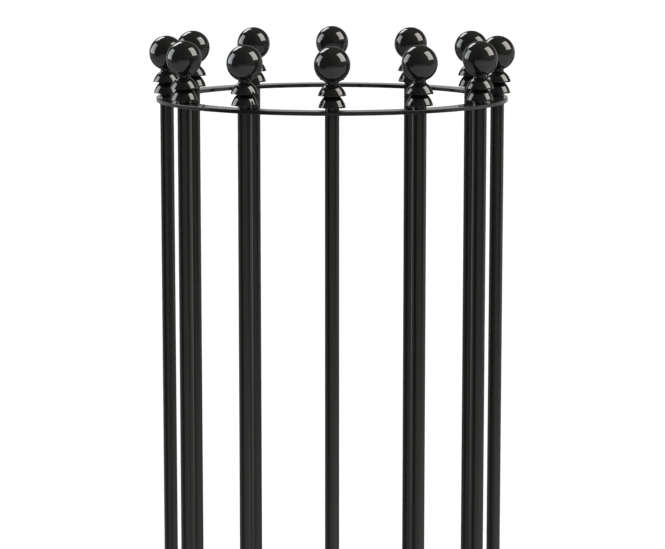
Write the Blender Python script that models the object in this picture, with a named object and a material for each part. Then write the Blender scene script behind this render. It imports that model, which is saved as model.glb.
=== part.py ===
"""Free-standing umbrella stand: a cage of round rods with turned ball finials, a flat top ring,
a heavy base plate on rubber feet, and a drip tray that lifts out through the ring.

Metres, +Z up. The origin is on the floor, under the middle of the stand. Rod 1 faces -Y.
"""

import math

import bmesh
import bpy

# ---- fits -----------------------------------------------------------------------------------
SEAT_GAP = 0.0003  # between two faces that bear on each other
THREAD_GAP = 0.0003  # radial, between a fastener or plug and its hole
TRAY_LIFT_GAP = 0.0030  # radial, between the tray's rim and the top ring
TRAY_SEAT_GAP = 0.0010  # radial, between the tray and the recess that locates it
BORE_RELIEF = 0.0015  # free depth past the end of a stud or screw

# ---- cage -----------------------------------------------------------------------------------
ROD_COUNT = 12
PITCH_RADIUS = 0.0990  # circle that the rods stand on
ROD_DIAMETER = 0.0080
ROD_LENGTH = 0.6500
ROD_WALL = 0.0010  # left round the tapped hole in each end of a rod
ROD_CHAMFER = 0.0004

# ---- fasteners ------------------------------------------------------------------------------
ENGAGEMENT = 0.0110  # length of thread inside a rod or a finial
STUD_CHAMFER = 0.0005
SCREW_HEAD_OVERHANG = 0.0021  # head radius over shank radius
SCREW_HEAD_EDGE = 0.0004  # straight edge of the countersunk head
SCREW_HEAD_SINK = 0.0002  # how far the head lies inside the plate
HEX_SOCKET_RADIUS = 0.0017
HEX_SOCKET_DEPTH = 0.0018

# ---- top ring -------------------------------------------------------------------------------
RING_WIDTH = 0.0120  # radial width, centred on the pitch circle
RING_THICKNESS = 0.0020

# ---- finial ---------------------------------------------------------------------------------
COLLAR_HEIGHT = 0.0018  # plain collar below the lower tier
LOWER_TIER_RADIUS = 0.00775
LOWER_TIER_HEIGHT = 0.0064
LOWER_TIER_BULGE = 0.0005
WAIST_STEP = 0.0003  # radius of the waist between the tiers, over the rod's radius
WAIST_HEIGHT = 0.0003
UPPER_TIER_RADIUS = 0.0080
UPPER_TIER_HEIGHT = 0.0062
UPPER_TIER_BULGE = 0.0007
NECK_RADIUS = 0.0037  # between the upper tier and the ball
NECK_HEIGHT = 0.0014
TIER_HOLLOW = 0.0007  # how far the underside of a tier is dished
TIER_EDGE = 0.00025  # thickness of a tier's rim
BALL_RADIUS = 0.0103

# ---- base -----------------------------------------------------------------------------------
BASE_MARGIN = 0.0110  # from the pitch circle to the plate's edge
BASE_THICKNESS = 0.0080
BASE_EDGE_ROUND = 0.0020
RECESS_DEPTH = 0.0015  # shallow seat for the tray

# ---- feet -----------------------------------------------------------------------------------
FOOT_COUNT = 4
FOOT_FIRST_ANGLE = 45  # degrees from -Y
FOOT_INSET = 0.0090  # from the pitch circle inwards to a foot's middle
FOOT_RADIUS = 0.0090
FOOT_HEIGHT = 0.0040
FOOT_EDGE = 0.0008
PLUG_RADIUS = 0.0035
PLUG_HEIGHT = 0.0035

# ---- drip tray --------------------------------------------------------------------------------
TRAY_HEIGHT = 0.0300
TRAY_WALL = 0.0012
TRAY_LEAN = 10  # degrees that the wall leans outwards
TRAY_CORNER_RADIUS = 0.0080  # outer radius between floor and wall
TRAY_BEAD_RADIUS = 0.0016  # rolled rim

# ---- facets -----------------------------------------------------------------------------------
ROD_SIDES = 10
BORE_SIDES = 8
FINIAL_SIDES = 12
PLATE_SIDES = 48
TRAY_SIDES = 36
FOOT_SIDES = 12
BALL_STEPS = 6
TIER_STEPS = 3
BEAD_STEPS = 6
CORNER_STEPS = 3
SHARP_ANGLE = 35  # degrees; smoother edges than this are shaded round

# ---- sizes that follow ------------------------------------------------------------------------
ROD_RADIUS = ROD_DIAMETER / 2
HOLE_RADIUS = ROD_RADIUS - ROD_WALL
THREAD_RADIUS = HOLE_RADIUS * math.cos(math.pi / BORE_SIDES) - THREAD_GAP
BORE_DEPTH = ENGAGEMENT + BORE_RELIEF
STUD_LENGTH = RING_THICKNESS + 2 * (SEAT_GAP + ENGAGEMENT)
SCREW_LENGTH = BASE_THICKNESS - SCREW_HEAD_SINK + SEAT_GAP + ENGAGEMENT
RING_OUTER = PITCH_RADIUS + RING_WIDTH / 2
RING_INNER = PITCH_RADIUS - RING_WIDTH / 2
BASE_RADIUS = PITCH_RADIUS + BASE_MARGIN
FOOT_CIRCLE = PITCH_RADIUS - FOOT_INSET

BASE_BOTTOM = FOOT_HEIGHT + SEAT_GAP
BASE_TOP = BASE_BOTTOM + BASE_THICKNESS
ROD_BOTTOM = BASE_TOP + SEAT_GAP
RING_BOTTOM = ROD_BOTTOM + ROD_LENGTH + SEAT_GAP
RING_TOP = RING_BOTTOM + RING_THICKNESS
FINIAL_BOTTOM = RING_TOP + SEAT_GAP
STUD_MIDDLE = (RING_BOTTOM + RING_TOP) / 2
SCREW_BOTTOM = BASE_BOTTOM + SCREW_HEAD_SINK
TRAY_BOTTOM = BASE_TOP - RECESS_DEPTH + SEAT_GAP

# The tray's wall is placed from its rim, which must pass the ring, down to its floor.
LEAN = math.radians(TRAY_LEAN)
BEAD_CENTRE = (RING_INNER - TRAY_LIFT_GAP - TRAY_BEAD_RADIUS, TRAY_HEIGHT - TRAY_BEAD_RADIUS)
BEAD_TO_OUTER_FACE = (TRAY_BEAD_RADIUS - TRAY_WALL) / math.cos(LEAN)
TRAY_FOOT_RADIUS = BEAD_CENTRE[0] - BEAD_TO_OUTER_FACE - BEAD_CENTRE[1] * math.tan(LEAN)
TRAY_FLOOR_RADIUS = (TRAY_FOOT_RADIUS + TRAY_CORNER_RADIUS * math.tan(LEAN)
                     - TRAY_CORNER_RADIUS / math.cos(LEAN))
RECESS_RADIUS = TRAY_FOOT_RADIUS + TRAY_SEAT_GAP


# ---- materials --------------------------------------------------------------------------------
def material(name, colour, roughness, metallic):
    """A Principled material of one plain colour."""
    made = bpy.data.materials.new(name)
    made.use_nodes = True
    shader = made.node_tree.nodes["Principled BSDF"]
    shader.inputs["Base Color"].default_value = (*colour, 1.0)
    shader.inputs["Roughness"].default_value = roughness
    shader.inputs["Metallic"].default_value = metallic
    return made


# ---- outlines: lists of (radius, height) ------------------------------------------------------
def arc(centre, radius, start, end, steps):
    """Points of an arc; angles in degrees, from outwards towards up."""
    turns = [math.radians(start + (end - start) * k / steps) for k in range(steps + 1)]
    return [(centre[0] + radius * math.cos(t), centre[1] + radius * math.sin(t)) for t in turns]


def bulged(start, end, bulge, steps):
    """Points of the shallow arc from start to end that stands bulge out of the straight line."""
    chord = math.dist(start, end)
    along = ((end[0] - start[0]) / chord, (end[1] - start[1]) / chord)
    radius = chord**2 / (8 * bulge) + bulge / 2
    half = math.asin(chord / 2 / radius)
    points = []
    for k in range(steps + 1):
        turn = half * (2 * k / steps - 1)
        step = chord / 2 + radius * math.sin(turn)
        rise = radius * math.cos(turn) - radius + bulge
        points.append((start[0] + along[0] * step + along[1] * rise,
                       start[1] + along[1] * step - along[0] * rise))
    return points


def tier(base, radius, height, bulge, below, above):
    """One bell-shaped tier: its dished underside, its rim and its domed top."""
    rim = (radius, base + TIER_EDGE)
    dish = (below, base + TIER_HOLLOW)
    return [dish, (radius, base)] + bulged(rim, (above, base + height), bulge, TIER_STEPS)


def finial_outline():
    """Tapped hole, collar, two tiers, neck and ball."""
    waist = ROD_RADIUS + WAIST_STEP
    upper = COLLAR_HEIGHT + LOWER_TIER_HEIGHT + WAIST_HEIGHT
    neck = upper + UPPER_TIER_HEIGHT + NECK_HEIGHT
    meets = math.acos(NECK_RADIUS / BALL_RADIUS)
    centre = neck + BALL_RADIUS * math.sin(meets)
    outline = [(0, BORE_DEPTH), (HOLE_RADIUS, BORE_DEPTH), (HOLE_RADIUS, 0), (ROD_RADIUS, 0)]
    outline += tier(COLLAR_HEIGHT, LOWER_TIER_RADIUS, LOWER_TIER_HEIGHT, LOWER_TIER_BULGE,
                    ROD_RADIUS, waist)
    outline += tier(upper, UPPER_TIER_RADIUS, UPPER_TIER_HEIGHT, UPPER_TIER_BULGE,
                    waist, NECK_RADIUS)
    outline += arc((0, centre), BALL_RADIUS, -math.degrees(meets), 90, BALL_STEPS)[:-1]
    return outline + [(0, centre + BALL_RADIUS)]


def rod_outline():
    """A round bar with a chamfer and a tapped hole at each end."""
    half = [
        (0, BORE_DEPTH),
        (HOLE_RADIUS, BORE_DEPTH),
        (HOLE_RADIUS, 0),
        (ROD_RADIUS - ROD_CHAMFER, 0),
        (ROD_RADIUS, ROD_CHAMFER),
    ]
    return half + [(radius, ROD_LENGTH - height) for radius, height in reversed(half)]


def stud_outline():
    """A headless stud, centred on its middle, chamfered at both ends."""
    half = [
        (0, -STUD_LENGTH / 2),
        (THREAD_RADIUS - STUD_CHAMFER, -STUD_LENGTH / 2),
        (THREAD_RADIUS, STUD_CHAMFER - STUD_LENGTH / 2),
    ]
    return half + [(radius, -height) for radius, height in reversed(half)]


def screw_outline(spare=0.0, reach=0.0):
    """A countersunk screw, head down; spare and reach grow it into the hole that takes it."""
    return [
        (0, -reach),
        (THREAD_RADIUS + SCREW_HEAD_OVERHANG + spare, -reach),
        (THREAD_RADIUS + SCREW_HEAD_OVERHANG + spare, SCREW_HEAD_EDGE),
        (THREAD_RADIUS + spare, SCREW_HEAD_EDGE + SCREW_HEAD_OVERHANG),
        (THREAD_RADIUS + spare, SCREW_LENGTH + reach),
        (0, SCREW_LENGTH + reach),
    ]


def hex_socket_outline():
    """The cutter for the socket in a screw's head; turned in six steps it is a hexagon."""
    return post_outline(HEX_SOCKET_RADIUS, -HEX_SOCKET_DEPTH, HEX_SOCKET_DEPTH)


def post_outline(radius, low, high):
    """A plain round post."""
    return [(0, low), (radius, low), (radius, high), (0, high)]


def foot_outline():
    """A push-in foot: a disc with an eased lower edge, and its plug."""
    return [
        (0, 0),
        (FOOT_RADIUS - FOOT_EDGE, 0),
        (FOOT_RADIUS, FOOT_EDGE),
        (FOOT_RADIUS, FOOT_HEIGHT),
        (PLUG_RADIUS, FOOT_HEIGHT),
        (PLUG_RADIUS, FOOT_HEIGHT + PLUG_HEIGHT),
        (0, FOOT_HEIGHT + PLUG_HEIGHT),
    ]


def tray_outline():
    """Floor, curved corner, leaning wall and a rim rolled outwards."""
    corner = (TRAY_FLOOR_RADIUS, TRAY_CORNER_RADIUS)
    closes = math.degrees(math.acos(1 - TRAY_WALL / TRAY_BEAD_RADIUS)) - 180 - TRAY_LEAN
    outer = arc(corner, TRAY_CORNER_RADIUS, -90, -TRAY_LEAN, CORNER_STEPS)
    bead = arc(BEAD_CENTRE, TRAY_BEAD_RADIUS, closes, 180 - TRAY_LEAN, BEAD_STEPS)
    inner = arc(corner, TRAY_CORNER_RADIUS - TRAY_WALL, -TRAY_LEAN, -90, CORNER_STEPS)
    return [(0, 0), *outer, *bead, *inner, (0, TRAY_WALL)]


# ---- meshes and objects -----------------------------------------------------------------------
def turned(name, outline, sides):
    """A mesh turned about Z; an outline that starts off the axis is closed into a ring."""
    form = bmesh.new()
    points = [form.verts.new((radius, 0.0, height)) for radius, height in outline]
    pairs = list(zip(points, points[1:]))
    if outline[0][0] > 0:
        pairs.append((points[-1], points[0]))
    edges = [form.edges.new(pair) for pair in pairs]
    bmesh.ops.spin(form, geom=points + edges, cent=(0, 0, 0), axis=(0, 0, 1),
                   angle=math.tau, steps=sides, use_merge=True)
    bmesh.ops.remove_doubles(form, verts=form.verts, dist=1e-7)
    bmesh.ops.recalc_face_normals(form, faces=form.faces)
    mesh = bpy.data.meshes.new(name)
    form.to_mesh(mesh)
    form.free()
    return mesh


def repeated(name, outline, sides, places):
    """One mesh that holds the turned outline at each (x, y), for use as a cutter."""
    single = turned(name, outline, sides)
    form = bmesh.new()
    for x, y in places:
        placed = len(form.verts)
        form.from_mesh(single)
        form.verts.ensure_lookup_table()
        bmesh.ops.translate(form, verts=form.verts[placed:], vec=(x, y, 0))
    form.to_mesh(single)
    form.free()
    return single


def add(name, mesh, finish, place=(0, 0, 0), parent=None):
    """An object of that mesh, shaded smooth with its sharp edges kept."""
    if not mesh.materials:
        mesh.materials.append(finish)
        mesh.shade_smooth()
        mesh.set_sharp_from_angle(angle=math.radians(SHARP_ANGLE))
    thing = bpy.data.objects.new(name, mesh)
    bpy.context.scene.collection.objects.link(thing)
    thing.location = place
    thing.parent = parent
    return thing


def cut(thing, mesh):
    """Cuts the mesh's shape out of the thing, from where the thing stands."""
    tool = bpy.data.objects.new("cut_" + mesh.name, mesh)
    bpy.context.scene.collection.objects.link(tool)
    tool.location = thing.location
    tool.hide_render = True
    tool.display_type = "WIRE"
    modifier = thing.modifiers.new(tool.name, "BOOLEAN")
    modifier.operation = "DIFFERENCE"
    modifier.solver = "EXACT"
    modifier.object = tool


def around(count, radius, first=0.0):
    """Places (x, y) spaced round a circle; first is in degrees from -Y."""
    turns = [math.radians(first) + math.tau * k / count for k in range(count)]
    return [(radius * math.sin(turn), -radius * math.cos(turn)) for turn in turns]


# ---- sub-parts --------------------------------------------------------------------------------
def top_ring(finish, rod_places):
    """The flat ring that ties the rods together, drilled for a stud at each rod."""
    outline = [
        (RING_INNER, RING_BOTTOM),
        (RING_OUTER, RING_BOTTOM),
        (RING_OUTER, RING_TOP),
        (RING_INNER, RING_TOP),
    ]
    ring = add("top_ring", turned("top_ring", outline, PLATE_SIDES), finish)
    drill = post_outline(HOLE_RADIUS, RING_BOTTOM - RING_THICKNESS, RING_TOP + RING_THICKNESS)
    cut(ring, repeated("stud_holes", drill, BORE_SIDES, rod_places))


def base_plate(finish, rod_places, foot_places):
    """The heavy disc: rounded upper edge, tray recess, countersunk holes and plug holes."""
    edge = (BASE_RADIUS - BASE_EDGE_ROUND, BASE_TOP - BASE_EDGE_ROUND)
    outline = [
        (0, BASE_BOTTOM),
        (BASE_RADIUS, BASE_BOTTOM),
        *arc(edge, BASE_EDGE_ROUND, 0, 90, CORNER_STEPS),
        (RECESS_RADIUS, BASE_TOP),
        (RECESS_RADIUS, BASE_TOP - RECESS_DEPTH),
        (0, BASE_TOP - RECESS_DEPTH),
    ]
    plate = add("base_plate", turned("base_plate", outline, PLATE_SIDES), finish)
    hole = screw_outline(HOLE_RADIUS - THREAD_RADIUS, BASE_THICKNESS)
    lifted = [(radius, height + SCREW_BOTTOM) for radius, height in hole]
    cut(plate, repeated("screw_holes", lifted, BORE_SIDES, rod_places))
    plug = post_outline((PLUG_RADIUS + THREAD_GAP) / math.cos(math.pi / FOOT_SIDES),
                        BASE_BOTTOM - BASE_THICKNESS, FOOT_HEIGHT + PLUG_HEIGHT + SEAT_GAP)
    cut(plate, repeated("plug_holes", plug, FOOT_SIDES, foot_places))


def rods_and_fasteners(black, lacquer, steel, rod_places):
    """Every rod with the screw below it, and the stud and the finial above it."""
    rod = turned("rod", rod_outline(), ROD_SIDES)
    finial = turned("finial", finial_outline(), FINIAL_SIDES)
    stud = turned("stud", stud_outline(), BORE_SIDES)
    screw = turned("screw", screw_outline(), BORE_SIDES)
    socket = turned("hex_socket", hex_socket_outline(), 6)
    for number, (x, y) in enumerate(rod_places, 1):
        add(f"rod_{number:02d}", rod, black, (x, y, ROD_BOTTOM))
        add(f"finial_{number:02d}", finial, lacquer, (x, y, FINIAL_BOTTOM))
        add(f"finial_stud_{number:02d}", stud, steel, (x, y, STUD_MIDDLE))
        cut(add(f"rod_screw_{number:02d}", screw, steel, (x, y, SCREW_BOTTOM)), socket)


def main():
    """Clears the scene and builds the stand."""
    for thing in list(bpy.data.objects):
        bpy.data.objects.remove(thing)
    lacquer = material("gloss_black_lacquer", (0.012, 0.012, 0.012), 0.12, 0.0)
    black = material("black_enamel", (0.016, 0.016, 0.015), 0.22, 0.0)
    steel = material("zinc_plated_steel", (0.55, 0.56, 0.57), 0.35, 1.0)
    rubber = material("black_rubber", (0.03, 0.03, 0.03), 0.8, 0.0)

    rod_places = around(ROD_COUNT, PITCH_RADIUS)
    foot_places = around(FOOT_COUNT, FOOT_CIRCLE, FOOT_FIRST_ANGLE)
    base_plate(black, rod_places, foot_places)
    rods_and_fasteners(black, lacquer, steel, rod_places)
    top_ring(black, rod_places)
    foot = turned("foot", foot_outline(), FOOT_SIDES)
    for number, (x, y) in enumerate(foot_places, 1):
        add(f"foot_{number}", foot, rubber, (x, y, 0))
    lift = bpy.data.objects.new("tray_lift_axis", None)
    bpy.context.scene.collection.objects.link(lift)
    lift.location = (0, 0, TRAY_BOTTOM)
    add("drip_tray", turned("drip_tray", tray_outline(), TRAY_SIDES), black, parent=lift)


main()
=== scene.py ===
"""Looks of the umbrella stand: fine turned meshes, enamel and lacquer finishes, studio and camera.

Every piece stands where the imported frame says. Sizes in metres, +Z up, -Y towards the front.
"""

from __future__ import annotations

import logging
import math
from collections.abc import Iterable, Sequence
from dataclasses import dataclass, field
from enum import Enum

import bmesh
import bpy
from mathutils import Matrix, Vector


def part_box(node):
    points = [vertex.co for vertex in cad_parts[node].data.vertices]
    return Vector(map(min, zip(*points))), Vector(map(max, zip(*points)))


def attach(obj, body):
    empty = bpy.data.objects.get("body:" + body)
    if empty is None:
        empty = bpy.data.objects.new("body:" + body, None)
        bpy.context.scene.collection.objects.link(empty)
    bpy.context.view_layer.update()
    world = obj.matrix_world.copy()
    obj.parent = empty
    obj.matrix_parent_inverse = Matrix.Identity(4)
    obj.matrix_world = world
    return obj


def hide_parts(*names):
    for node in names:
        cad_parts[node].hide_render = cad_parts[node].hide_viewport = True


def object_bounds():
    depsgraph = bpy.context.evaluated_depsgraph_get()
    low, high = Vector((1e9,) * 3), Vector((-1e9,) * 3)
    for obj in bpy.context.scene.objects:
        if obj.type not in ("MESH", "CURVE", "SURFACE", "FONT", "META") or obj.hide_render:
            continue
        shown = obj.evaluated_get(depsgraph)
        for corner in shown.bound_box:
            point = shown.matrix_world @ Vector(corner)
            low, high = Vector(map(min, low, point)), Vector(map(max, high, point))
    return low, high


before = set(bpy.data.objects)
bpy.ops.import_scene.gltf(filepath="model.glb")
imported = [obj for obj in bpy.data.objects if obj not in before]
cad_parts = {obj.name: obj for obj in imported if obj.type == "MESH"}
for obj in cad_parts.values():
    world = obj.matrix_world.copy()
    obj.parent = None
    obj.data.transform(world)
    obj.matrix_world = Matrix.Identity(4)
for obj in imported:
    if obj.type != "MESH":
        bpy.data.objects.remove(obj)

CAD_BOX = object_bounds()
STAND = "stand"
TRAY = "drip_tray"
ON_AXIS = 1e-7  # a smaller radius counts as a point on the axis
log = logging.getLogger("umbrella_stand")

Point = tuple[float, float]
Span = tuple[float, float]
Colour = tuple[float, float, float]


# ---- drawing and turning ----------------------------------------------------------------------
@dataclass
class Outline:
    """Half of a turned section, drawn as points (radius, height) from the axis outwards."""

    points: list[Point] = field(default_factory=list)

    def to(self, radius: float, height: float) -> Outline:
        """Adds one corner and returns the outline."""
        self.points.append((radius, height))
        return self

    def arc(self, centre: Point, radius: float, start: float, end: float, steps: int) -> Outline:
        """Adds an arc.

        Args:
            centre: Centre of the arc.
            radius: Its radius.
            start: First angle in degrees, from outwards towards up.
            end: Last angle in degrees.
            steps: Number of straight steps.

        Returns:
            The outline.
        """
        for k in range(steps + 1):
            turn = math.radians(start + (end - start) * k / steps)
            self.to(centre[0] + radius * math.cos(turn), centre[1] + radius * math.sin(turn))
        return self

    def swell(self, radius: float, height: float, bulge: float, steps: int) -> Outline:
        """Adds a shallow arc from the last point, bowed to its right-hand side.

        Args:
            radius: Radius of the arc's end point.
            height: Height of the arc's end point.
            bulge: How far the arc's middle stands off the straight line.
            steps: Number of straight steps.

        Returns:
            The outline.
        """
        start = Vector(self.points[-1])
        chord = Vector((radius, height)) - start
        along = chord.normalized()
        out = Vector((along.y, -along.x))
        bow = chord.length**2 / (8 * bulge) + bulge / 2
        half = math.asin(chord.length / 2 / bow)
        for k in range(1, steps + 1):
            turn = half * (2 * k / steps - 1)
            step = chord.length / 2 + bow * math.sin(turn)
            rise = bow * math.cos(turn) - bow + bulge
            self.to(*(start + along * step + out * rise))
        return self

    def eased(self, ease: float, steps: int = 3, least_turn: float = 25.0, share: float = 0.45) -> Outline:
        """Rounds every corner that turns sharply.

        Args:
            ease: Radius of the rounding, less where a side is too short for it.
            steps: Straight steps in each rounding.
            least_turn: Smallest turn in degrees that counts as a corner.
            share: Most of a side that one rounding may take up.

        Returns:
            A new outline.
        """
        made = Outline([self.points[0]])
        for before, corner, after in zip(self.points, self.points[1:], self.points[2:]):
            here = Vector(corner)
            back = Vector(before) - here
            ahead = Vector(after) - here
            turn = math.pi - back.angle(ahead)
            if math.degrees(turn) < least_turn:
                made.to(*corner)
                continue
            reach = min(ease * math.tan(turn / 2), share * back.length, share * ahead.length)
            start = here + back.normalized() * reach
            end = here + ahead.normalized() * reach
            for k in range(steps + 1):
                t = k / steps
                made.to(*(start * (1 - t) ** 2 + here * 2 * t * (1 - t) + end * t**2))
        return made.to(*self.points[-1])


def skin(form: bmesh.types.BMesh, rows: Sequence[Sequence[bmesh.types.BMVert]], sides: int) -> None:
    """Joins each row of points to the next one.

    Args:
        form: The mesh being made.
        rows: Rows of as many points as there are sides, or of one point on the axis.
        sides: Number of facets round the axis.
    """
    for low, high in zip(rows, rows[1:]):
        for k in range(sides):
            ahead = (k + 1) % sides
            loop = [low[k % len(low)], low[ahead % len(low)], high[ahead % len(high)], high[k % len(high)]]
            form.faces.new(list(dict.fromkeys(loop)))
    bmesh.ops.recalc_face_normals(form, faces=form.faces)


def meshed(name: str, form: bmesh.types.BMesh) -> bpy.types.Mesh:
    """Turns a finished form into a mesh and frees the form.

    Args:
        name: Name of the mesh.
        form: The form.

    Returns:
        The mesh.
    """
    mesh = bpy.data.meshes.new(name)
    form.to_mesh(mesh)
    form.free()
    return mesh


def around(count: int, radius: float, first: float = 0.0) -> list[Point]:
    """Places spaced evenly round a circle.

    Args:
        count: Number of places.
        radius: Radius of the circle.
        first: Angle of the first place in degrees, from -Y.

    Returns:
        Each place as (x, y).
    """
    turns = [math.radians(first) + math.tau * k / count for k in range(count)]
    return [(radius * math.sin(turn), -radius * math.cos(turn)) for turn in turns]


def heading(azimuth: float, height: float = 0.0) -> Vector:
    """Direction as a unit vector.

    Args:
        azimuth: Degrees from -Y towards +X.
        height: Degrees up from level.

    Returns:
        The vector.
    """
    turn = math.radians(azimuth)
    climb = math.radians(height)
    return Vector((math.sin(turn) * math.cos(climb), -math.cos(turn) * math.cos(climb), math.sin(climb)))


def turned(name: str, outline: Outline, sides: int, ring: bool = False) -> bpy.types.Mesh:
    """Turns an outline about Z into a closed, smooth-shaded mesh.

    Args:
        name: Name of the mesh.
        outline: Points whose ends lie on the axis, or a closed section for a ring.
        sides: Number of facets round the axis.
        ring: True for a closed section that stays off the axis.

    Returns:
        The mesh.
    """
    form = bmesh.new()
    rows = []
    for radius, height in outline.points:
        if radius < ON_AXIS:
            rows.append([form.verts.new((0.0, 0.0, height))])
            continue
        turns = [math.tau * k / sides for k in range(sides)]
        rows.append([form.verts.new((radius * math.cos(t), radius * math.sin(t), height)) for t in turns])
    skin(form, rows + rows[:1] if ring else rows, sides)
    return meshed(name, form)


def patterned(mesh: bpy.types.Mesh, places: Iterable[Point]) -> bpy.types.Mesh:
    """Repeats a mesh at each place, as one cutter.

    Args:
        mesh: The mesh to repeat, which is used up.
        places: Where each copy goes, as (x, y).

    Returns:
        The same mesh with every copy in it.
    """
    form = bmesh.new()
    for x, y in places:
        first = len(form.verts)
        form.from_mesh(mesh)
        form.verts.ensure_lookup_table()
        bmesh.ops.translate(form, verts=form.verts[first:], vec=(x, y, 0.0))
    form.to_mesh(mesh)
    form.free()
    return mesh


def cut(body: bpy.types.Mesh, *tools: bpy.types.Mesh) -> bpy.types.Mesh:
    """Cuts tools out of a body.

    Args:
        body: The mesh that is cut.
        tools: Closed meshes in the same place.

    Returns:
        A new mesh.
    """
    helpers = [bpy.data.objects.new("helper", mesh) for mesh in (body, *tools)]
    for helper in helpers:
        bpy.context.scene.collection.objects.link(helper)
    for tool in helpers[1:]:
        step = helpers[0].modifiers.new(tool.name, "BOOLEAN")
        step.operation = "DIFFERENCE"
        step.solver = "EXACT"
        step.object = tool
    bpy.context.view_layer.update()
    graph = bpy.context.evaluated_depsgraph_get()
    made = bpy.data.meshes.new_from_object(helpers[0].evaluated_get(graph))
    made.name = body.name + "_cut"
    for helper in helpers:
        bpy.data.objects.remove(helper)
    return made


@dataclass
class Workshop:
    """Puts finished pieces on the frame and reports them.

    Edges that turn by more than the crease, in degrees, stay sharp.
    """

    crease: float = 40.0
    face_weight: int = 80

    def fit(
        self,
        name: str,
        mesh: bpy.types.Mesh,
        finishes: Finishes,
        slot: Slot,
        body: str,
        stands_for: str,
        place: Sequence[float] = (0.0, 0.0, 0.0),
        spin: float = 0.0,
    ) -> bpy.types.Object:
        """Makes a piece of a mesh, dresses it and lets it ride on its body.

        Args:
            name: Name of the piece.
            mesh: Its mesh, which other pieces may share.
            finishes: Every finish of the stand.
            slot: The material slot that it takes its finish from.
            body: The body that it moves with.
            stands_for: The solid that it replaces.
            place: Where its origin goes.
            spin: Turn about Z in radians, so that repeated pieces don't show one grain.

        Returns:
            The piece.
        """
        if not mesh.materials:
            mesh.materials.append(finishes.of(slot))
            mesh.shade_smooth()
            mesh.set_sharp_from_angle(angle=math.radians(self.crease))
        piece = bpy.data.objects.new(name, mesh)
        bpy.context.scene.collection.objects.link(piece)
        piece.matrix_world = Matrix.Translation(place) @ Matrix.Rotation(spin, 4, "Z")
        flatten = piece.modifiers.new("even_faces", "WEIGHTED_NORMAL")
        flatten.keep_sharp = True
        flatten.weight = self.face_weight
        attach(piece, body)
        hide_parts(stands_for)
        log.info("%s on %s, %d faces", name, body, len(mesh.polygons))
        return piece


# ---- finishes ---------------------------------------------------------------------------------
class Graph:
    """A node tree with short ways to add and join nodes."""

    def __init__(self, tree: bpy.types.NodeTree) -> None:
        """Wraps the tree and empties it."""
        self.tree = tree
        tree.nodes.clear()

    def add(self, kind: str, **settings: object) -> bpy.types.Node:
        """Adds a node.

        Args:
            kind: The node's type.
            settings: Attributes to set, or socket values named in_ and the socket's name.

        Returns:
            The node.
        """
        node = self.tree.nodes.new(kind)
        for key, value in settings.items():
            if key.startswith("in_"):
                node.inputs[key[3:].replace("_", " ")].default_value = value
            else:
                setattr(node, key, value)
        return node

    def blend(self, factor: bpy.types.NodeSocket, first: Colour, second: Colour) -> bpy.types.NodeSocket:
        """Blends two colours.

        Args:
            factor: How much of the second colour shows.
            first: The first colour.
            second: The second colour.

        Returns:
            The blended colour's socket.
        """
        node = self.add("ShaderNodeMix", data_type="RGBA")
        colours = [socket for socket in node.inputs if socket.type == "RGBA"]
        for socket, colour in zip(colours, (first, second)):
            socket.default_value = (*colour, 1.0)
        self.join(factor, node.inputs["Factor"])
        return next(socket for socket in node.outputs if socket.type == "RGBA")

    def ramp(self, value: bpy.types.NodeSocket, start: float, end: float, first: float = 0.0,
             last: float = 1.0) -> bpy.types.NodeSocket:
        """Adds a smooth step.

        Args:
            value: The value that drives it.
            start: Value at which the step starts.
            end: Value at which it ends.
            first: Result before the step.
            last: Result after it.

        Returns:
            The result's socket.
        """
        node = self.add("ShaderNodeMapRange", interpolation_type="SMOOTHSTEP", in_From_Min=start,
                        in_From_Max=end, in_To_Min=first, in_To_Max=last)
        self.join(value, node.inputs["Value"])
        return node.outputs["Result"]

    def bump(self, height: bpy.types.NodeSocket, strength: float, shader: bpy.types.Node,
             relief: float = 0.0001) -> None:
        """Lets a height stand out of a shader's surface.

        Args:
            height: The height's socket.
            strength: How strongly it shows.
            shader: The shader.
            relief: How far a height of one stands out.
        """
        node = self.add("ShaderNodeBump", in_Strength=strength, in_Distance=relief)
        self.join(height, node.inputs["Height"])
        self.join(node.outputs["Normal"], shader.inputs["Normal"])

    def join(self, source: bpy.types.NodeSocket, target: bpy.types.NodeSocket) -> None:
        """Links two sockets."""
        self.tree.links.new(source, target)

    def maths(self, operation: str, *terms: bpy.types.NodeSocket | float) -> bpy.types.NodeSocket:
        """Adds a Math node.

        Args:
            operation: The operation's name.
            terms: Sockets or numbers, in order.

        Returns:
            The result's socket.
        """
        node = self.add("ShaderNodeMath", operation=operation)
        for slot, term in zip(node.inputs, terms):
            if isinstance(term, (int, float)):
                slot.default_value = term
            else:
                self.join(term, slot)
        return node.outputs[0]


class Effect(Enum):
    """The shader effects that several finishes share."""

    ORANGE_PEEL = "orange_peel"
    SETTLED_DUST = "settled_dust"
    POLISH_DRIFT = "polish_drift"


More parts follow.
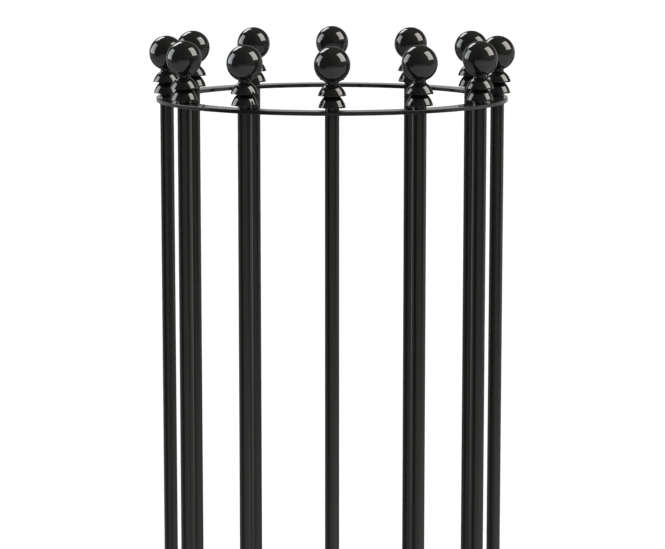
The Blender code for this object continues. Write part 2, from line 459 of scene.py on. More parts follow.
class Effects:
    """Builds each shared shader group once.

    A ratio is how much finer a second noise is than the first, and a share is how strongly it shows.
    """

    ripple_ratio: float = 3.7
    ripple_share: float = 0.25
    grain_edges: Span = (0.45, 0.75)
    mark_stretch: tuple[float, float, float] = (0.2, 0.2, 3.0)
    mark_ratio: float = 14.0
    mark_share: float = 0.4
    drift_middle: float = 0.7

    def __init__(self) -> None:
        """Makes the three groups."""
        self.groups: dict[Effect, bpy.types.NodeTree] = {
            Effect.ORANGE_PEEL: self._orange_peel(),
            Effect.SETTLED_DUST: self._settled_dust(),
            Effect.POLISH_DRIFT: self._polish_drift(),
        }

    @staticmethod
    def _group(name: str, inputs: dict[str, float],
               output: str) -> tuple[Graph, bpy.types.Node, bpy.types.Node]:
        """Starts a group with number inputs and one number output.

        Args:
            name: Name of the group.
            inputs: Each input's name and first value.
            output: Name of the output.

        Returns:
            The graph, its input node and its output node.
        """
        tree = bpy.data.node_groups.new(name, "ShaderNodeTree")
        for label, value in inputs.items():
            socket = tree.interface.new_socket(label, in_out="INPUT", socket_type="NodeSocketFloat")
            socket.default_value = value
        tree.interface.new_socket(output, in_out="OUTPUT", socket_type="NodeSocketFloat")
        graph = Graph(tree)
        return graph, graph.add("NodeGroupInput"), graph.add("NodeGroupOutput")

    def _orange_peel(self) -> bpy.types.NodeTree:
        """Builds the fine waviness that sprayed or dipped paint dries to.

        Returns:
            The group, which puts out a height.
        """
        graph, given, result = self._group(
            Effect.ORANGE_PEEL.value, {"Scale": 600.0, "Depth": 1.0}, "Height")
        where = graph.add("ShaderNodeTexCoord").outputs["Object"]
        broad = graph.add("ShaderNodeTexNoise", in_Detail=1.0, in_Roughness=0.4)
        fine = graph.add("ShaderNodeTexNoise", in_Detail=2.0, in_Roughness=0.5)
        for noise in (broad, fine):
            graph.join(where, noise.inputs["Vector"])
        graph.join(given.outputs["Scale"], broad.inputs["Scale"])
        closer = graph.maths("MULTIPLY", given.outputs["Scale"], self.ripple_ratio)
        graph.join(closer, fine.inputs["Scale"])
        mixed = graph.maths("MULTIPLY_ADD", fine.outputs["Fac"], self.ripple_share, broad.outputs["Fac"])
        graph.join(graph.maths("MULTIPLY", mixed, given.outputs["Depth"]), result.inputs["Height"])
        return graph.tree

    def _settled_dust(self) -> bpy.types.NodeTree:
        """Builds dust that lies on what looks up, broken into specks.

        Returns:
            The group, which puts out how much dust lies on the face.
        """
        graph, given, result = self._group(
            Effect.SETTLED_DUST.value, {"Amount": 0.3, "Scale": 900.0, "Level": 0.6}, "Mask")
        facing = graph.add("ShaderNodeSeparateXYZ")
        graph.join(graph.add("ShaderNodeNewGeometry").outputs["Normal"], facing.inputs[0])
        upward = graph.add("ShaderNodeMapRange", interpolation_type="SMOOTHSTEP")
        graph.join(facing.outputs["Z"], upward.inputs["Value"])
        graph.join(given.outputs["Level"], upward.inputs["From Min"])
        where = graph.add("ShaderNodeTexCoord").outputs["Object"]
        specks = graph.add("ShaderNodeTexNoise", in_Detail=4.0, in_Roughness=0.7)
        graph.join(where, specks.inputs["Vector"])
        graph.join(given.outputs["Scale"], specks.inputs["Scale"])
        least, most = self.grain_edges
        grains = graph.add("ShaderNodeMapRange", in_From_Min=least, in_From_Max=most)
        graph.join(specks.outputs["Fac"], grains.inputs["Value"])
        lying = graph.maths("MULTIPLY", upward.outputs["Result"], grains.outputs["Result"])
        graph.join(graph.maths("MULTIPLY", lying, given.outputs["Amount"]), result.inputs["Mask"])
        return graph.tree

    def _polish_drift(self) -> bpy.types.NodeTree:
        """Builds roughness that drifts over a surface, with faint wiping marks round the piece.

        Returns:
            The group, which puts out the roughness.
        """
        graph, given, result = self._group(
            Effect.POLISH_DRIFT.value, {"Base": 0.1, "Spread": 0.02, "Scale": 30.0}, "Roughness")
        where = graph.add("ShaderNodeTexCoord").outputs["Object"]
        cloud = graph.add("ShaderNodeTexNoise", in_Detail=3.0, in_Roughness=0.6)
        graph.join(where, cloud.inputs["Vector"])
        graph.join(given.outputs["Scale"], cloud.inputs["Scale"])
        stretch = graph.add("ShaderNodeMapping")
        stretch.inputs["Scale"].default_value = self.mark_stretch
        graph.join(where, stretch.inputs["Vector"])
        marks = graph.add("ShaderNodeTexNoise", in_Detail=2.0, in_Roughness=0.8)
        graph.join(stretch.outputs["Vector"], marks.inputs["Vector"])
        graph.join(graph.maths("MULTIPLY", given.outputs["Scale"], self.mark_ratio), marks.inputs["Scale"])
        both = graph.maths("MULTIPLY_ADD", marks.outputs["Fac"], self.mark_share, cloud.outputs["Fac"])
        centred = graph.maths("SUBTRACT", both, self.drift_middle)
        drift = graph.maths("MULTIPLY", centred, given.outputs["Spread"])
        graph.join(graph.maths("ADD", drift, given.outputs["Base"]), result.inputs["Roughness"])
        return graph.tree

    def place(self, graph: Graph, effect: Effect, **values: float) -> bpy.types.NodeSocket:
        """Places an effect in a material.

        Args:
            graph: The material's graph.
            effect: Which effect.
            values: Its inputs' values.

        Returns:
            The effect's output socket.
        """
        node = graph.add("ShaderNodeGroup", node_tree=self.groups[effect])
        for label, value in values.items():
            node.inputs[label].default_value = value
        return node.outputs[0]


def dressed(name: str) -> tuple[bpy.types.Material, Graph, bpy.types.Node]:
    """Starts a material with a Principled shader.

    Args:
        name: Name of the material.

    Returns:
        The material, its graph and its shader.
    """
    made = bpy.data.materials.new(name)
    made.use_nodes = True
    graph = Graph(made.node_tree)
    shader = graph.add("ShaderNodeBsdfPrincipled")
    output = graph.add("ShaderNodeOutputMaterial")
    graph.join(shader.outputs["BSDF"], output.inputs["Surface"])
    return made, graph, shader


@dataclass(frozen=True)
class Paint:
    """A coat of black enamel or lacquer over metal."""

    name: str
    colour: Colour
    dust_colour: Colour = (0.09, 0.085, 0.075)
    dust: float = 0.10
    dust_dulls: float = 0.5
    roughness: float = 0.08
    drift: float = 0.03
    drift_scale: float = 40.0
    peel_scale: float = 450.0
    peel_depth: float = 0.02
    ior: float = 1.5

    def mix(self, effects: Effects) -> bpy.types.Material:
        """Builds the material.

        Args:
            effects: The shared shader groups.

        Returns:
            The material.
        """
        made, graph, shader = dressed(self.name)
        shader.inputs["IOR"].default_value = self.ior
        dust = effects.place(graph, Effect.SETTLED_DUST, Amount=self.dust)
        graph.join(graph.blend(dust, self.colour, self.dust_colour), shader.inputs["Base Color"])
        gloss = effects.place(graph, Effect.POLISH_DRIFT, Base=self.roughness, Spread=self.drift,
                              Scale=self.drift_scale)
        graph.join(graph.maths("MULTIPLY_ADD", dust, self.dust_dulls, gloss), shader.inputs["Roughness"])
        graph.bump(effects.place(graph, Effect.ORANGE_PEEL, Scale=self.peel_scale, Depth=1.0),
                   self.peel_depth, shader)
        return made


@dataclass(frozen=True)
class PlatedSteel:
    """Zinc plating over turned steel, for the fasteners."""

    name: str
    colour: Colour = (0.52, 0.54, 0.57)
    shade: Colour = (0.36, 0.37, 0.36)
    shade_base: float = 0.4
    shade_spread: float = 1.6
    roughness: float = 0.30
    drift: float = 0.12
    drift_scale: float = 220.0
    grain_scale: float = 1400.0
    grain_depth: float = 0.15

    def mix(self, effects: Effects) -> bpy.types.Material:
        """Builds the material.

        Args:
            effects: The shared shader groups.

        Returns:
            The material.
        """
        made, graph, shader = dressed(self.name)
        shader.inputs["Metallic"].default_value = 1.0
        gloss = effects.place(graph, Effect.POLISH_DRIFT, Base=self.roughness, Spread=self.drift,
                              Scale=self.drift_scale)
        graph.join(gloss, shader.inputs["Roughness"])
        dulled = effects.place(graph, Effect.POLISH_DRIFT, Base=self.shade_base, Spread=self.shade_spread,
                               Scale=self.drift_scale)
        graph.join(graph.blend(dulled, self.colour, self.shade), shader.inputs["Base Color"])
        graph.bump(effects.place(graph, Effect.ORANGE_PEEL, Scale=self.grain_scale, Depth=1.0),
                   self.grain_depth, shader)
        return made


@dataclass(frozen=True)
class MouldedRubber:
    """Matt black rubber with the fine grain of its mould, greyer where dust has settled."""

    name: str
    colour: Colour = (0.018, 0.018, 0.018)
    dust_colour: Colour = (0.14, 0.13, 0.12)
    dust: float = 0.5
    roughness: float = 0.72
    drift: float = 0.15
    drift_scale: float = 90.0
    grain_scale: float = 1800.0
    grain_depth: float = 0.5

    def mix(self, effects: Effects) -> bpy.types.Material:
        """Builds the material.

        Args:
            effects: The shared shader groups.

        Returns:
            The material.
        """
        made, graph, shader = dressed(self.name)
        gloss = effects.place(graph, Effect.POLISH_DRIFT, Base=self.roughness, Spread=self.drift,
                              Scale=self.drift_scale)
        graph.join(gloss, shader.inputs["Roughness"])
        dust = effects.place(graph, Effect.SETTLED_DUST, Amount=self.dust)
        graph.join(graph.blend(dust, self.colour, self.dust_colour), shader.inputs["Base Color"])
        graph.bump(effects.place(graph, Effect.ORANGE_PEEL, Scale=self.grain_scale, Depth=1.0),
                   self.grain_depth, shader)
        return made


class Slot(Enum):
    """The record's material slots."""

    FRAME = "frame_enamel"
    FINIAL = "finial_lacquer"
    STEEL = "plated_steel"
    RUBBER = "foot_rubber"
    TRAY = "tray_enamel"


class Finishes:
    """Every finish of the stand, by the slot that wears it."""

    def __init__(self) -> None:
        """Mixes the finishes."""
        effects = Effects()
        recipes = {
            Slot.FRAME: Paint("gloss_black_enamel", (0.0065, 0.0063, 0.0054), roughness=0.06, drift=0.04,
                              peel_scale=380.0, peel_depth=0.05),
            Slot.FINIAL: Paint("polished_black_lacquer", (0.0062, 0.0061, 0.0056), roughness=0.035,
                               drift=0.03, peel_scale=260.0, peel_depth=0.03),
            Slot.STEEL: PlatedSteel("zinc_plated_steel"),
            Slot.RUBBER: MouldedRubber("moulded_rubber"),
            Slot.TRAY: Paint("satin_black_enamel", (0.010, 0.010, 0.0095), dust=0.3, roughness=0.30,
                             drift=0.12, drift_scale=25.0, peel_scale=500.0, peel_depth=0.2),
        }
        self.mixed = {slot: recipe.mix(effects) for slot, recipe in recipes.items()}

    def of(self, slot: Slot) -> bpy.types.Material:
        """The material that a slot wears."""
        return self.mixed[slot]


# ---- the stand --------------------------------------------------------------------------------
@dataclass(frozen=True)
class Seat:
    """Where a solid of the frame stands: its axis and its lowest and highest points."""

    x: float
    y: float
    low: float
    high: float

    @classmethod
    def of(cls, node: str) -> Seat:
        """Reads the place of a node from the frame."""
        low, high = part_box(node)
        return cls((low.x + high.x) / 2, (low.y + high.y) / 2, low.z, high.z)


@dataclass
class Cage:
    """Twelve round bars, tapped and chamfered at both ends, under a coat of enamel."""

    workshop: Workshop
    finishes: Finishes
    count: int = 12
    radius: float = 0.0040
    bore: float = 0.0030
    bore_depth: float = 0.0125
    drill_tip: float = 0.0009
    chamfer: float = 0.0004
    lower_gap: float = 0.00028
    upper_gap: float = 0.00018
    coat: float = 0.0001
    ease: float = 0.00012
    spin_step: float = 2.4
    sides: int = 64

    def outline(self, length: float) -> Outline:
        """Half of a bar's section.

        Args:
            length: Length of the bar.

        Returns:
            The outline, from the lower bore to the upper bore.
        """
        half = [
            (0.0, self.bore_depth),
            (self.bore, self.bore_depth - self.drill_tip),
            (self.bore, self.chamfer),
            (self.bore + self.chamfer, 0.0),
            (self.radius + self.coat - self.chamfer, 0.0),
            (self.radius + self.coat, self.chamfer),
        ]
        return Outline(half + [(r, length - h) for r, h in reversed(half)]).eased(self.ease)

    def build(self) -> None:
        """Makes the bars and stands them between the base and the ring."""
        first = Seat.of("rod_01")
        length = first.high - first.low + self.lower_gap + self.upper_gap
        bar = turned("bar", self.outline(length), self.sides)
        for number in range(1, self.count + 1):
            seat = Seat.of(f"rod_{number:02d}")
            self.workshop.fit(
                f"rod_{number:02d}_bar", bar, self.finishes, Slot.FRAME, STAND, f"rod_{number:02d}",
                (seat.x, seat.y, seat.low - self.lower_gap), number * self.spin_step)


@dataclass
class Finials:
    """Twelve turned finials: a collar, two bell-shaped tiers, a neck and a ball."""

    workshop: Workshop
    finishes: Finishes
    count: int = 12
    bore: float = 0.0030
    bore_depth: float = 0.0125
    drill_tip: float = 0.0009
    collar_radius: float = 0.0040
    collar_height: float = 0.0018
    lower_radius: float = 0.00775
    lower_height: float = 0.0064
    lower_bulge: float = 0.0005
    waist_radius: float = 0.0043
    waist_height: float = 0.0003
    upper_radius: float = 0.0080
    upper_height: float = 0.0062
    upper_bulge: float = 0.0007
    neck_radius: float = 0.0037
    neck_height: float = 0.0014
    hollow: float = 0.0007
    rim: float = 0.00025
    ball_radius: float = 0.01030
    seat_gap: float = 0.00018
    ease: float = 0.00012
    spin_step: float = 1.7
    sides: int = 96
    ball_steps: int = 40
    tier_steps: int = 10

    def outline(self) -> Outline:
        """Half of a finial's section.

        Returns:
            The outline, from the bore to the top of the ball.
        """
        lower = self.seat_gap + self.collar_height
        upper = lower + self.lower_height + self.waist_height
        neck = upper + self.upper_height + self.neck_height
        meets = math.acos(self.neck_radius / self.ball_radius)
        centre = neck + self.ball_radius * math.sin(meets)
        body = Outline([(0.0, self.bore_depth), (self.bore, self.bore_depth - self.drill_tip)])
        body.to(self.bore, 0.0).to(self.collar_radius, 0.0)
        for base, radius, height, bulge, below, above in (
            (lower, self.lower_radius, self.lower_height, self.lower_bulge,
             self.collar_radius, self.waist_radius),
            (upper, self.upper_radius, self.upper_height, self.upper_bulge,
             self.waist_radius, self.neck_radius),
        ):
            body.to(below, base + self.hollow).to(radius, base).to(radius, base + self.rim)
            body.swell(above, base + height, bulge, self.tier_steps)
        body.arc((0.0, centre), self.ball_radius, -math.degrees(meets), 90.0, self.ball_steps)
        return body.eased(self.ease)

    def build(self) -> None:
        """Makes the finials and seats them on the ring."""
        turning = turned("turning", self.outline(), self.sides)
        for number in range(1, self.count + 1):
            seat = Seat.of(f"finial_{number:02d}")
            self.workshop.fit(
                f"finial_{number:02d}_turning", turning, self.finishes, Slot.FINIAL, STAND,
                f"finial_{number:02d}", (seat.x, seat.y, seat.low - self.seat_gap),
                number * self.spin_step)


@dataclass
class TopRing:
    """The flat ring between the bars and the finials, drilled for twelve studs and enamelled."""

    workshop: Workshop
    finishes: Finishes
    pitch: float = 0.0990
    width: float = 0.0120
    holes: int = 12
    hole_radius: float = 0.0030
    ease: float = 0.00025
    coat: float = 0.0001
    sides: int = 288
    drill_sides: int = 32

    def build(self) -> None:
        """Makes the ring."""
        seat = Seat.of("top_ring")
        half = self.width / 2 + self.coat
        inner, outer = self.pitch - half, self.pitch + half
        thick = seat.high - seat.low + 2 * self.coat
        middle = (inner + outer) / 2
        section = Outline([
            (middle, 0.0), (outer, 0.0), (outer, thick), (inner, thick), (inner, 0.0), (middle, 0.0),
        ]).eased(self.ease)
        section.points.pop()
        blank = turned("ring", section, self.sides, ring=True)
        drill = Outline([(0.0, -thick), (self.hole_radius, -thick)])
        drill.to(self.hole_radius, 2 * thick).to(0.0, 2 * thick)
        holes = patterned(turned("drill", drill, self.drill_sides), around(self.holes, self.pitch))
        self.workshop.fit("ring_plate", cut(blank, holes), self.finishes, Slot.FRAME, STAND, "top_ring",
                          (0.0, 0.0, seat.low - self.coat))


@dataclass
class Threaded:
    """Screw thread cut on a bar: a helix of fixed pitch that runs out at both ends."""

    crest: float = 0.00247
    depth: float = 0.00038
    pitch: float = 0.0008
    crest_share: float = 0.15
    flank_share: float = 0.7
    rows_per_turn: int = 8
    sides: int = 32

    def radius(self, height: float, turn: float, low: float, high: float) -> float:
        """Radius of the thread at one point.

        Args:
            height: Height of the point.
            turn: Angle round the bar, as a share of a turn.
            low: Where the thread starts.
            high: Where it ends.

        Returns:
            The radius.
        """
        wave = abs(((height / self.pitch - turn) % 1.0) - 0.5) * 2.0
        profile = min(max((wave - self.crest_share) / self.flank_share, 0.0), 1.0)
        runout = min(max(min(height - low, high - height) / self.pitch, 0.0), 1.0)
        return self.crest - self.depth * profile * runout

    def bar(self, name: str, start: Sequence[Point], end: Sequence[Point], low: float,
            high: float) -> bpy.types.Mesh:
        """Makes a threaded bar with plain ends.

        Args:
            name: Name of the mesh.
            start: Outline below the thread, from the axis outwards.
            end: Outline above the thread, back to the axis.
            low: Where the thread starts.
            high: Where it ends.

        Returns:
            The closed mesh.
        """
        steps = round((high - low) / self.pitch * self.rows_per_turn)
        heights = [low + (high - low) * k / steps for k in range(steps + 1)]
        form = bmesh.new()
        rows = []
        for radius, height in [*start, *((None, h) for h in heights), *end]:
            if radius == 0.0:
                rows.append([form.verts.new((0.0, 0.0, height))])
                continue
            row = []
            for k in range(self.sides):
                turn = k / self.sides
                reach = self.radius(height, turn, low, high) if radius is None else radius
                row.append(form.verts.new((reach * math.cos(math.tau * turn),
                                           reach * math.sin(math.tau * turn), height)))
            rows.append(row)
        skin(form, rows, self.sides)
        return meshed(name, form)


@dataclass
class Fasteners:
    """The stud inside each finial joint and the countersunk screw below each bar."""

    workshop: Workshop
    finishes: Finishes
    count: int = 12
    thread: Threaded = field(default_factory=Threaded)
    tip: float = 0.0005
    head_overhang: float = 0.0021
    head_edge: float = 0.0004
    head_round: float = 0.00015
    head_relief: float = 0.0004
    socket_radius: float = 0.0017
    socket_depth: float = 0.0018
    socket_sides: int = 6
    stud_spin_step: float = 0.9
    screw_spin_step: float = 0.7

    def stud(self, length: float) -> bpy.types.Mesh:
        """Makes a headless stud.

        Args:
            length: Its length.

        Returns:
            Its mesh, centred on its middle.
        """
        half, crest = length / 2, self.thread.crest
        start = [(0.0, -half), (crest - self.tip, -half), (crest, self.tip - half)]
        end = [(radius, -height) for radius, height in reversed(start)]
        return self.thread.bar("stud", start[:-1], end[1:], self.tip - half, half - self.tip)

    def screw(self, length: float) -> bpy.types.Mesh:
        """Makes a countersunk screw with a hexagon socket, head down.

        Args:
            length: Its length.

        Returns:
            Its mesh, from the head upwards.
        """
        crest = self.thread.crest
        head = crest + self.head_overhang
        start = [
            (0.0, 0.0),
            (head - self.head_round, 0.0),
            (head, self.head_round),
            (head, self.head_edge),
            (crest, self.head_edge + self.head_overhang),
        ]
        low = self.head_edge + self.head_overhang + self.head_relief
        end = [(crest - self.tip, length), (0.0, length)]
        blank = self.thread.bar("screw", start, end, low, length - self.tip)
        key = Outline([(0.0, -self.socket_depth), (self.socket_radius, -self.socket_depth)])
        key.to(self.socket_radius, self.socket_depth).to(0.0, self.socket_depth)
        return cut(blank, turned("key", key, self.socket_sides))

    def build(self) -> None:
        """Makes the studs and the screws."""
        first_stud, first_screw = Seat.of("finial_stud_01"), Seat.of("rod_screw_01")
        stud = self.stud(first_stud.high - first_stud.low)
        screw = self.screw(first_screw.high - first_screw.low)
        for number in range(1, self.count + 1):
            seat = Seat.of(f"finial_stud_{number:02d}")
            self.workshop.fit(
                f"stud_{number:02d}_thread", stud, self.finishes, Slot.STEEL, STAND,
                f"finial_stud_{number:02d}", (seat.x, seat.y, (seat.low + seat.high) / 2),
                number * self.stud_spin_step)
            seat = Seat.of(f"rod_screw_{number:02d}")
            self.workshop.fit(
                f"screw_{number:02d}_countersunk", screw, self.finishes, Slot.STEEL, STAND,
                f"rod_screw_{number:02d}", (seat.x, seat.y, seat.low), number * self.screw_spin_step)


@dataclass
class Base:
    """The heavy disc: rounded edge, shallow recess, countersunk holes and plug holes."""

    workshop: Workshop
    finishes: Finishes
    radius: float = 0.1100
    edge_round: float = 0.0020
    recess_radius: float = 0.0840
    recess_depth: float = 0.0015
    pitch: float = 0.0990
    screw_count: int = 12
    hole_radius: float = 0.0030
    head_radius: float = 0.0051
    head_edge: float = 0.0006
    foot_circle: float = 0.0900
    foot_count: int = 4
    first_foot: float = 45.0
    plug_radius: float = 0.0038
    plug_depth: float = 0.0035
    ease: float = 0.0003
    sides: int = 288
    drill_sides: int = 32

    def build(self) -> None:
        """Makes the disc."""
        seat = Seat.of("base_plate")
        thick = seat.high - seat.low
        section = Outline([(0.0, 0.0), (self.radius, 0.0)])
        section.arc((self.radius - self.edge_round, thick - self.edge_round), self.edge_round, 0, 90, 8)
        section.to(self.recess_radius, thick).to(self.recess_radius, thick - self.recess_depth)
        section.to(0.0, thick - self.recess_depth)
        blank = turned("disc", section.eased(self.ease), self.sides)
        slope = self.head_radius - self.hole_radius
        sink = Outline([
            (0.0, -thick), (self.head_radius, -thick), (self.head_radius, self.head_edge),
            (self.hole_radius, self.head_edge + slope), (self.hole_radius, 2 * thick), (0.0, 2 * thick),
        ])
        plug = Outline([(0.0, -thick), (self.plug_radius, -thick)])
        plug.to(self.plug_radius, self.plug_depth).to(0.0, self.plug_depth)
        screws = patterned(turned("sink", sink, self.drill_sides), around(self.screw_count, self.pitch))
        plugs = patterned(turned("plug", plug, self.drill_sides),
                          around(self.foot_count, self.foot_circle, self.first_foot))
        self.workshop.fit("base_disc", cut(blank, screws, plugs), self.finishes, Slot.FRAME, STAND,
                          "base_plate", (0.0, 0.0, seat.low))


@dataclass
class Feet:
    """Push-in rubber feet with a grooved tread."""

    workshop: Workshop
    finishes: Finishes
    count: int = 4
    radius: float = 0.0090
    height: float = 0.00428
    edge: float = 0.0008
    plug_radius: float = 0.0035
    groove_depth: float = 0.0004
    groove_width: float = 0.0006
    grooves: tuple[float, ...] = (0.0030, 0.0048, 0.0066)
    ease: float = 0.0002
    spin_step: float = 1.3
    sides: int = 64

    def build(self) -> None:
        """Makes the feet."""
        first = Seat.of("foot_1")
        section = Outline([(0.0, 0.0)])
        for middle in self.grooves:
            inner, outer = middle - self.groove_width / 2, middle + self.groove_width / 2
            section.to(inner, 0.0).to(inner, self.groove_depth)
            section.to(outer, self.groove_depth).to(outer, 0.0)
        section.arc((self.radius - self.edge, self.edge), self.edge, -90, 0, 5)
        section.to(self.radius, self.height).to(self.plug_radius, self.height)
        section.to(self.plug_radius, first.high).to(0.0, first.high)
        pad = turned("pad", section.eased(self.ease), self.sides)
        for number in range(1, self.count + 1):
            seat = Seat.of(f"foot_{number}")
            self.workshop.fit(f"foot_{number}_pad", pad, self.finishes, Slot.RUBBER, STAND,
                              f"foot_{number}", (seat.x, seat.y, seat.low), number * self.spin_step)


@dataclass
class DripTray:
    """The spun dish that lifts out: pressed floor, leaning wall and a rolled rim."""

    workshop: Workshop
    finishes: Finishes
    wall: float = 0.0012
    lean: float = 10.0
    corner: float = 0.0080
    bead: float = 0.0016
    lift_gap: float = 0.0030
    ring_inner: float = 0.0930
    pressing: Span = (0.046, 0.056)
    pressing_rise: float = 0.0006
    ease: float = 0.0004
    sides: int = 216

    def build(self) -> None:
        """Makes the dish."""
        seat = Seat.of("drip_tray")
        height = seat.high - seat.low
        lean = math.radians(self.lean)
        rim = (self.ring_inner - self.lift_gap - self.bead, height - self.bead)
        foot = rim[0] - (self.bead - self.wall) / math.cos(lean) - rim[1] * math.tan(lean)
        floor = foot + self.corner * math.tan(lean) - self.corner / math.cos(lean)
        closes = math.degrees(math.acos(1 - self.wall / self.bead)) - 180 - self.lean
        inner_edge, outer_edge = self.pressing
        slope = 2 * self.pressing_rise
        pressed = [
            (inner_edge - slope, 0.0), (inner_edge, self.pressing_rise),
            (outer_edge, self.pressing_rise), (outer_edge + slope, 0.0),
        ]
        section = Outline([(0.0, 0.0), *pressed])
        section.arc((floor, self.corner), self.corner, -90, -self.lean, 10)
        section.arc(rim, self.bead, closes, 180 - self.lean, 20)
        section.arc((floor, self.corner), self.corner - self.wall, -self.lean, -90, 10)
        section.points += [(radius, self.wall + lift) for radius, lift in reversed(pressed)]
        section.to(0.0, self.wall)
        dish = turned("dish", section.eased(self.ease), self.sides)
        self.workshop.fit("tray_dish", dish, self.finishes, Slot.TRAY, TRAY, "drip_tray",
                          (0.0, 0.0, seat.low))


# ---- studio -----------------------------------------------------------------------------------
@dataclass(frozen=True)
class Softbox:
    """A rectangular studio lamp, hung round the top of the stand.

    Angles are in degrees: azimuths from -Y towards +X, heights up from level. The light leaves
    opposite to the way that the lamp's back points, and the roll turns the lamp about its back.
    """

    name: str
    azimuth: float
    height: float
    back_azimuth: float
    back_height: float
    roll: float
    size: tuple[float, float]
    radiance: float
    colour: Colour
    distance: float = 3.0

    def hang(self, top: Vector) -> bpy.types.Object:
        """Hangs the lamp.

        Args:
            top: The point that the lamp hangs round.

        Returns:
            The lamp.
        """
        lamp = bpy.data.lights.new(self.name, "AREA")
        lamp.shape = "RECTANGLE"
        lamp.size, lamp.size_y = self.size
        lamp.energy = self.radiance * math.pi * self.size[0] * self.size[1]
        lamp.color = self.colour
        held = bpy.data.objects.new(self.name, lamp)
        bpy.context.scene.collection.objects.link(held)
        back = heading(self.back_azimuth, self.back_height)
        level = Vector((0.0, 0.0, 1.0)).cross(back).normalized()
        along = Matrix.Rotation(math.radians(self.roll), 3, back) @ level
        turn = Matrix((along, back.cross(along), back)).transposed().to_4x4()
        place = top + heading(self.azimuth, self.height) * self.distance
        held.matrix_world = Matrix.Translation(place) @ turn
        held.visible_camera = False
        return held

    @staticmethod
    def spare(lamps: Iterable[bpy.types.Object], floor: bpy.types.Object) -> None:
        """Keeps lamps off the floor, which the overhead light alone makes evenly white.

        Args:
            lamps: The lamps.
            floor: The floor.
        """
        unlit = bpy.data.collections.new("unlit_by_boxes")
        unlit.objects.link(floor)
        unlit.collection_objects[0].light_linking.link_state = "EXCLUDE"
        for lamp in lamps:
            lamp.light_linking.receiver_collection = unlit


@dataclass(frozen=True)
class Panel:
    """An upright panel of the mirrored room, which draws a line down each bar.

    The azimuth runs from -Y towards +X in degrees. The panel darkens the room by its depth, or
    brightens it where the depth is negative. It fades from full strength to none between two
    values of the upward component of the direction looked in.
    """

    azimuth: float
    half_width: float
    depth: float
    fade: Span


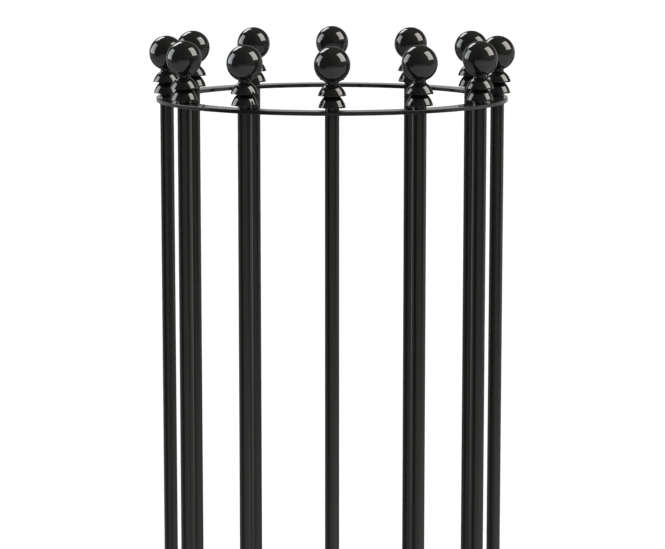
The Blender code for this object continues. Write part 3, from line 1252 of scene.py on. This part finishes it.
@dataclass
class Studio:
    """White floor, soft lamps, and the grey room that the gloss mirrors.

    The room is seen only in reflections: a pool of light below the horizon, brightest in front and
    to the right, dim walls above it, and a low glow behind the stand. Each change in brightness
    runs between two values of one component of the direction looked in: left to right, front to
    back, or down to up. Shallowest and steepest keep the divisors off zero.
    """

    floor_half: float = 90.0
    floor_colour: Colour = (0.90, 0.90, 0.90)
    overhead: float = 3.25
    overhead_spread: float = 70.0
    white: float = 1.02
    pool_centre: Point = (1.7, -1.65)
    pool_reach: Point = (3.9, 2.6)
    pool_power: float = 1.4
    pool_level: float = 0.56
    pool_rest: float = 0.40
    pool_behind: float = 0.25
    behind: Span = (0.3, 0.8)
    steep: Span = (-0.14, -0.30)
    steepest: float = 0.001
    shallowest: float = 0.02
    horizon: Span = (-0.060, -0.080)
    panels: tuple[Panel, ...] = (
        Panel(-61.0, 33.0, 0.88, (-0.15, -0.45)),
        Panel(58.0, 29.0, 0.60, (-0.12, -0.24)),
        Panel(101.0, 32.0, -0.75, (-0.12, -0.20)),
    )
    wall_left: float = 0.10
    wall_right: float = 0.28
    wall_back: float = 0.08
    side_span: Span = (-0.3, 1.0)
    back_span: Span = (-0.1, 0.6)
    glow: float = 0.34
    glow_span: Span = (0.32, 0.12)
    boxes: tuple[Softbox, ...] = (
        Softbox("warm_box", 88.0, 41.0, 64.0, 29.0, 0.0, (2.15, 2.50), 8.1, (1.0, 0.97, 0.89)),
        Softbox("cool_box", -106.0, 22.0, -82.0, -9.0, -3.0, (2.15, 2.50), 5.0, (0.91, 0.955, 1.0)),
        Softbox("rim_box", -152.0, 39.5, -129.0, 36.0, -20.0, (1.35, 1.00), 7.0, (0.96, 0.98, 1.0)),
    )
    box_drop: float = 0.01

    def floor(self) -> bpy.types.Object:
        """Lays the white floor, which the gloss doesn't mirror.

        Returns:
            The floor.
        """
        form = bmesh.new()
        half = self.floor_half
        corners = [(-half, -half, 0), (half, -half, 0), (half, half, 0), (-half, half, 0)]
        form.faces.new([form.verts.new(corner) for corner in corners])
        mesh = meshed("floor", form)
        laid = bpy.data.objects.new("floor", mesh)
        bpy.context.scene.collection.objects.link(laid)
        laid.visible_glossy = False
        paint = bpy.data.materials.new("pale_floor")
        paint.use_nodes = True
        graph = Graph(paint.node_tree)
        matt = graph.add("ShaderNodeBsdfDiffuse")
        matt.inputs["Color"].default_value = (*self.floor_colour, 1.0)
        graph.join(matt.outputs[0], graph.add("ShaderNodeOutputMaterial").inputs["Surface"])
        mesh.materials.append(paint)
        return laid

    def pool(self, graph: Graph, x: bpy.types.NodeSocket, y: bpy.types.NodeSocket,
             z: bpy.types.NodeSocket) -> bpy.types.NodeSocket:
        """Brightness of the room below the horizon.

        Args:
            graph: The room's graph.
            x: First component of the direction looked in.
            y: Second component.
            z: Third component.

        Returns:
            The brightness.
        """
        down = graph.maths("MAXIMUM", graph.maths("MULTIPLY", z, -1.0), self.shallowest)
        spread: bpy.types.NodeSocket | float = 1.0
        for part, centre, reach in zip((x, y), self.pool_centre, self.pool_reach):
            off = graph.maths("SUBTRACT", graph.maths("DIVIDE", part, down), centre)
            off = graph.maths("DIVIDE", off, reach)
            spread = graph.maths("ADD", graph.maths("MULTIPLY", off, off), spread)
        fall = graph.maths("DIVIDE", self.pool_level, graph.maths("POWER", spread, self.pool_power))
        lit = graph.maths("ADD", fall, self.pool_rest)
        across = graph.maths("ADD", graph.maths("MULTIPLY", x, x), graph.maths("MULTIPLY", y, y))
        level = graph.maths("MAXIMUM", graph.maths("SQRT", across), self.steepest)
        for panel in self.panels:
            towards = heading(panel.azimuth)
            along = graph.maths("MULTIPLY_ADD", x, towards.x, graph.maths("MULTIPLY", y, towards.y))
            facing = graph.maths("DIVIDE", along, level)
            shade = graph.ramp(facing, math.cos(math.radians(panel.half_width)), 1.0)
            strength = graph.ramp(z, *panel.fade, -panel.depth, 0.0)
            lit = graph.maths("MULTIPLY", lit, graph.maths("MULTIPLY_ADD", shade, strength, 1.0))
        loss = graph.maths("MULTIPLY", graph.ramp(y, *self.behind, 0.0, self.pool_behind - 1.0),
                           graph.ramp(z, *self.steep))
        return graph.maths("MULTIPLY", lit, graph.maths("ADD", loss, 1.0))

    def walls(self, graph: Graph, x: bpy.types.NodeSocket, y: bpy.types.NodeSocket,
              z: bpy.types.NodeSocket) -> bpy.types.NodeSocket:
        """Brightness of the room above the horizon.

        Args:
            graph: The room's graph.
            x: First component of the direction looked in.
            y: Second component.
            z: Third component.

        Returns:
            The brightness.
        """
        side = graph.ramp(x, *self.side_span, self.wall_left, self.wall_right)
        back = graph.maths("MULTIPLY_ADD", graph.ramp(z, *self.glow_span), self.glow, self.wall_back)
        more = graph.maths("SUBTRACT", back, side)
        return graph.maths("MULTIPLY_ADD", more, graph.ramp(y, *self.back_span), side)

    def room(self) -> bpy.types.World:
        """Makes the surroundings: white to look at, grey to mirror.

        Returns:
            The surroundings.
        """
        world = bpy.data.worlds.new("studio")
        world.use_nodes = True
        graph = Graph(world.node_tree)
        ways = graph.add("ShaderNodeSeparateXYZ")
        graph.join(graph.add("ShaderNodeTexCoord").outputs["Generated"], ways.inputs[0])
        x, y, z = (ways.outputs[axis] for axis in "XYZ")
        wall = self.walls(graph, x, y, z)
        more = graph.maths("SUBTRACT", self.pool(graph, x, y, z), wall)
        grey = graph.maths("MULTIPLY_ADD", more, graph.ramp(z, *self.horizon), wall)
        dim = graph.add("ShaderNodeBackground")
        dim.inputs["Color"].default_value = (1.0, 1.0, 1.0, 1.0)
        graph.join(grey, dim.inputs["Strength"])
        white = graph.add("ShaderNodeBackground", in_Strength=self.white)
        white.inputs["Color"].default_value = (1.0, 1.0, 1.0, 1.0)
        choose = graph.add("ShaderNodeMixShader")
        graph.join(graph.add("ShaderNodeLightPath").outputs["Is Camera Ray"], choose.inputs[0])
        graph.join(dim.outputs[0], choose.inputs[1])
        graph.join(white.outputs[0], choose.inputs[2])
        graph.join(choose.outputs[0], graph.add("ShaderNodeOutputWorld").inputs["Surface"])
        bpy.context.scene.world = world
        return world

    def build(self) -> None:
        """Sets up the floor, the room and the lamps."""
        floor = self.floor()
        self.room()
        top = Vector((0.0, 0.0, CAD_BOX[1].z - self.box_drop))
        Softbox.spare([box.hang(top) for box in self.boxes], floor)
        lamp = bpy.data.lights.new("overhead", "SUN")
        lamp.energy = self.overhead
        lamp.angle = math.radians(self.overhead_spread)
        sky = bpy.data.objects.new("overhead", lamp)
        bpy.context.scene.collection.objects.link(sky)
        sky.visible_camera = False
        sky.visible_glossy = False
        scene = bpy.context.scene
        scene.view_settings.view_transform = "Standard"
        scene.view_settings.look = "None"


@dataclass
class Viewpoint:
    """The camera, set from the ring: how far in front of it, how far above and how it looks down."""

    side: float = 0.00023
    distance: float = 1.5630
    rise: float = 0.1331
    look_down: float = 8.77
    focal: float = 141.4
    sensor: float = 36.0
    farthest: float = 300.0

    def build(self) -> None:
        """Makes the camera the scene's own."""
        lens = bpy.data.cameras.new("viewpoint")
        lens.lens = self.focal
        lens.sensor_width = self.sensor
        lens.clip_end = self.farthest
        held = bpy.data.objects.new("viewpoint", lens)
        bpy.context.scene.collection.objects.link(held)
        held.location = (self.side, -self.distance, Seat.of("top_ring").high + self.rise)
        held.rotation_euler = (math.radians(90.0 - self.look_down), 0.0, 0.0)
        bpy.context.scene.camera = held


def main() -> None:
    """Builds the stand piece by piece, then the studio and the camera."""
    workshop = Workshop()
    finishes = Finishes()
    for assembly in (Cage, TopRing, Finials, Fasteners, Base, Feet, DripTray):
        assembly(workshop, finishes).build()
        log.info("%s done", assembly.__name__)
    Studio().build()
    Viewpoint().build()


if __name__ == "__main__":
    logging.basicConfig(level=logging.INFO, format="%(name)s: %(message)s")
    main()
